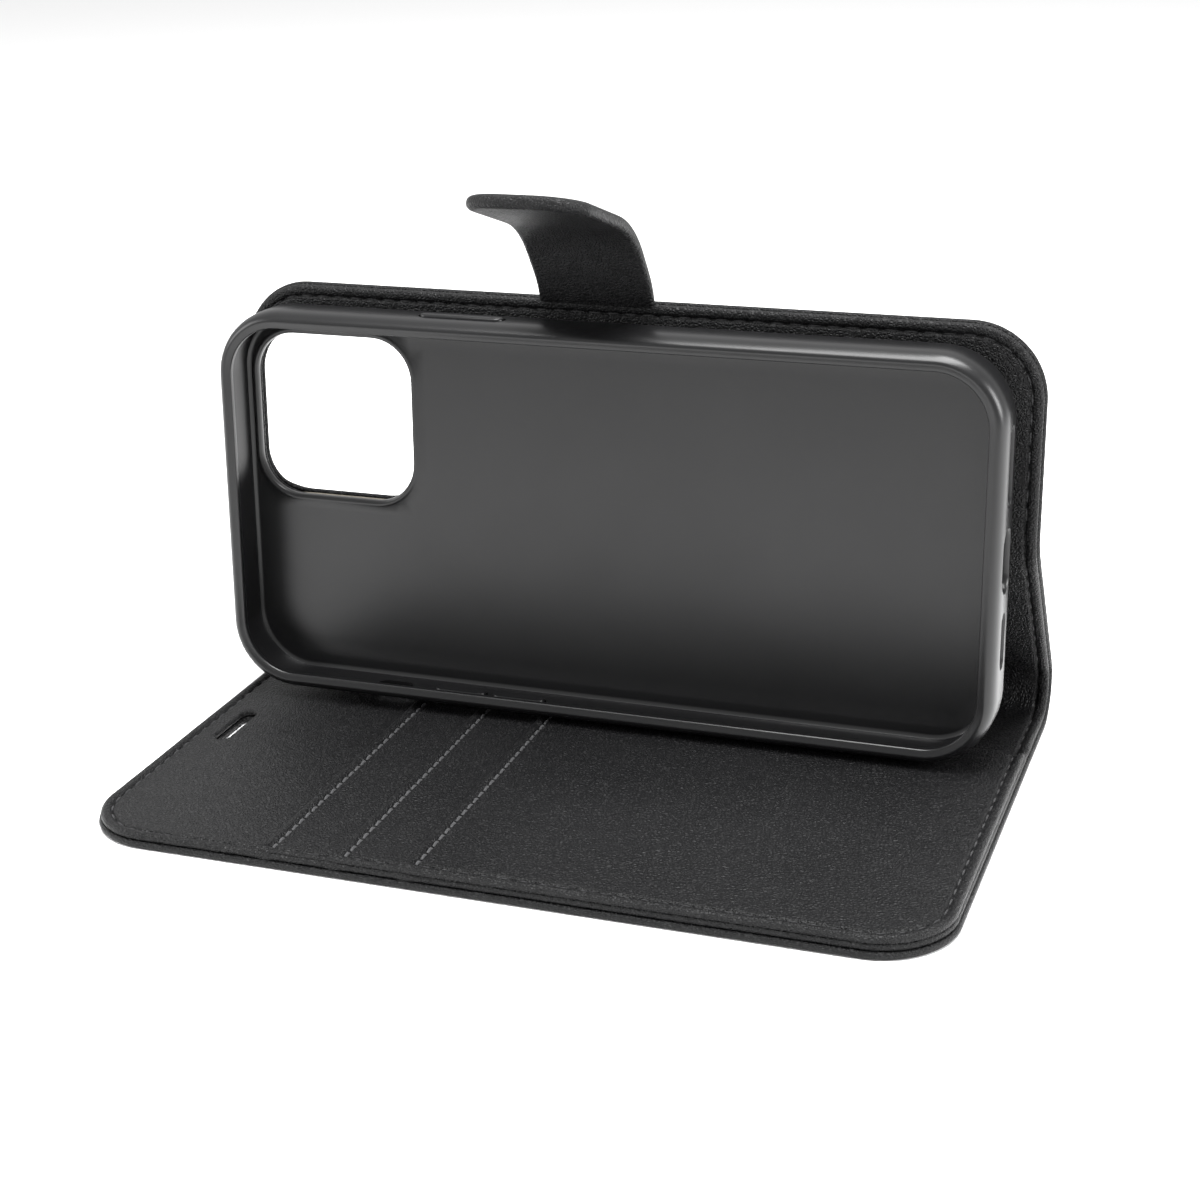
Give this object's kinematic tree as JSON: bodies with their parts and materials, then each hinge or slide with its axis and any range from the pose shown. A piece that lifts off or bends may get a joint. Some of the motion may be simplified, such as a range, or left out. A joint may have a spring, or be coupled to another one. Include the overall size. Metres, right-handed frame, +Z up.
{
  "type": "phone wallet case",
  "caption": "Folding leather phone case standing open: front cover with card slots, curved spine, kickstand back, moulded phone tray and magnetic closing strap.",
  "frame": {"origin": "centre of the front cover's flat underside", "axes": "+X along the long side towards the phone's port end, +Y from the cover's free edge towards the back of the stand, +Z up"},
  "size_m": [0.1544, 0.1011, 0.1082],
  "materials": {
    "outer_leather": "satin, fine pebble grain",
    "lining_leather": "satin, fine grain",
    "card_panel_leather": "satin, fine grain",
    "board": "matt",
    "thread": "waxed polyester",
    "glue_pad": "matt",
    "steel": "plain",
    "magnet": "nickel plated",
    "tray_rubber": "satin moulded",
    "key_rubber": "satin moulded"
  },
  "bodies": {
    "front_cover": {"front_outer_skin": "outer_leather", "front_board": "board", "clasp_plate": "steel", "front_lining": "lining_leather", "card_panel_lower": "card_panel_leather", "card_panel_middle": "card_panel_leather", "card_panel_upper": "card_panel_leather", "front_edge_thread": "thread", "slot_edge_thread": "thread"},
    "spine": {"spine_outer_skin": "outer_leather", "spine_board": "board", "spine_lining": "lining_leather"},
    "rear_bend": {"bend_outer_skin": "outer_leather", "bend_lining": "lining_leather"},
    "kick_flap": {"flap_outer_skin": "outer_leather", "flap_board": "board", "flap_lining": "lining_leather"},
    "back": {"back_outer_skin": "outer_leather", "back_board": "board", "back_lining": "lining_leather", "glue_pad": "glue_pad", "back_edge_thread": "thread", "phone_tray": "tray_rubber"},
    "power_key": {"power_key": "key_rubber"},
    "volume_up_key": {"volume_up_key": "key_rubber"},
    "volume_down_key": {"volume_down_key": "key_rubber"},
    "strap_arm": {"strap_arm_outer": "outer_leather", "strap_arm_inner": "lining_leather"},
    "strap_tab": {"strap_tab_outer": "outer_leather", "strap_tab_inner": "lining_leather", "strap_magnet": "magnet"}
  },
  "joints": [
    {"name": "front_fold", "type": "hinge", "parent": "front_cover", "child": "spine", "pos_m": [0, 0.0385, 0.0012], "axis": [1, 0, 0], "range_deg": [-90, 0]},
    {"name": "spine_rear_fold", "type": "hinge", "parent": "spine", "child": "rear_bend", "pos_m": [0, 0.0551, 0.0012], "axis": [1, 0, 0], "range_deg": [-75, 0]},
    {"name": "flap_lower_fold", "type": "hinge", "parent": "rear_bend", "child": "kick_flap", "pos_m": [0, 0.06017, 0.01124], "axis": [1, 0, 0], "range_deg": [-40, 0]},
    {"name": "kickstand_fold", "type": "hinge", "parent": "kick_flap", "child": "back", "pos_m": [0, 0.03762, 0.04231], "axis": [1, 0, 0], "range_deg": [0, 39]},
    {"name": "strap_base_fold", "type": "hinge", "parent": "back", "child": "strap_arm", "pos_m": [0, 0.03973, 0.08256], "axis": [1, 0, 0], "range_deg": [-60, 51]},
    {"name": "strap_tip_fold", "type": "hinge", "parent": "strap_arm", "child": "strap_tab", "pos_m": [0, 0.02904, 0.09753], "axis": [1, 0, 0], "range_deg": [-30, 54]},
    {"name": "power_key_press", "type": "slide", "parent": "back", "child": "power_key", "axis": [0, -0.0523, -0.9986], "range_m": [0, 0.0005], "stiffness_N_per_m": 1200, "springref_m": -0.0002},
    {"name": "volume_up_key_press", "type": "slide", "parent": "back", "child": "volume_up_key", "axis": [0, 0.0523, 0.9986], "range_m": [0, 0.0004], "stiffness_N_per_m": 1200, "springref_m": -0.0002},
    {"name": "volume_down_key_press", "type": "slide", "parent": "back", "child": "volume_down_key", "axis": [0, 0.0523, 0.9986], "range_m": [0, 0.0004], "stiffness_N_per_m": 1200, "springref_m": -0.0002}
  ],
  "couplings": [
    {"joint": "flap_lower_fold", "follows": "kickstand_fold", "ratio": -1}
  ]
}
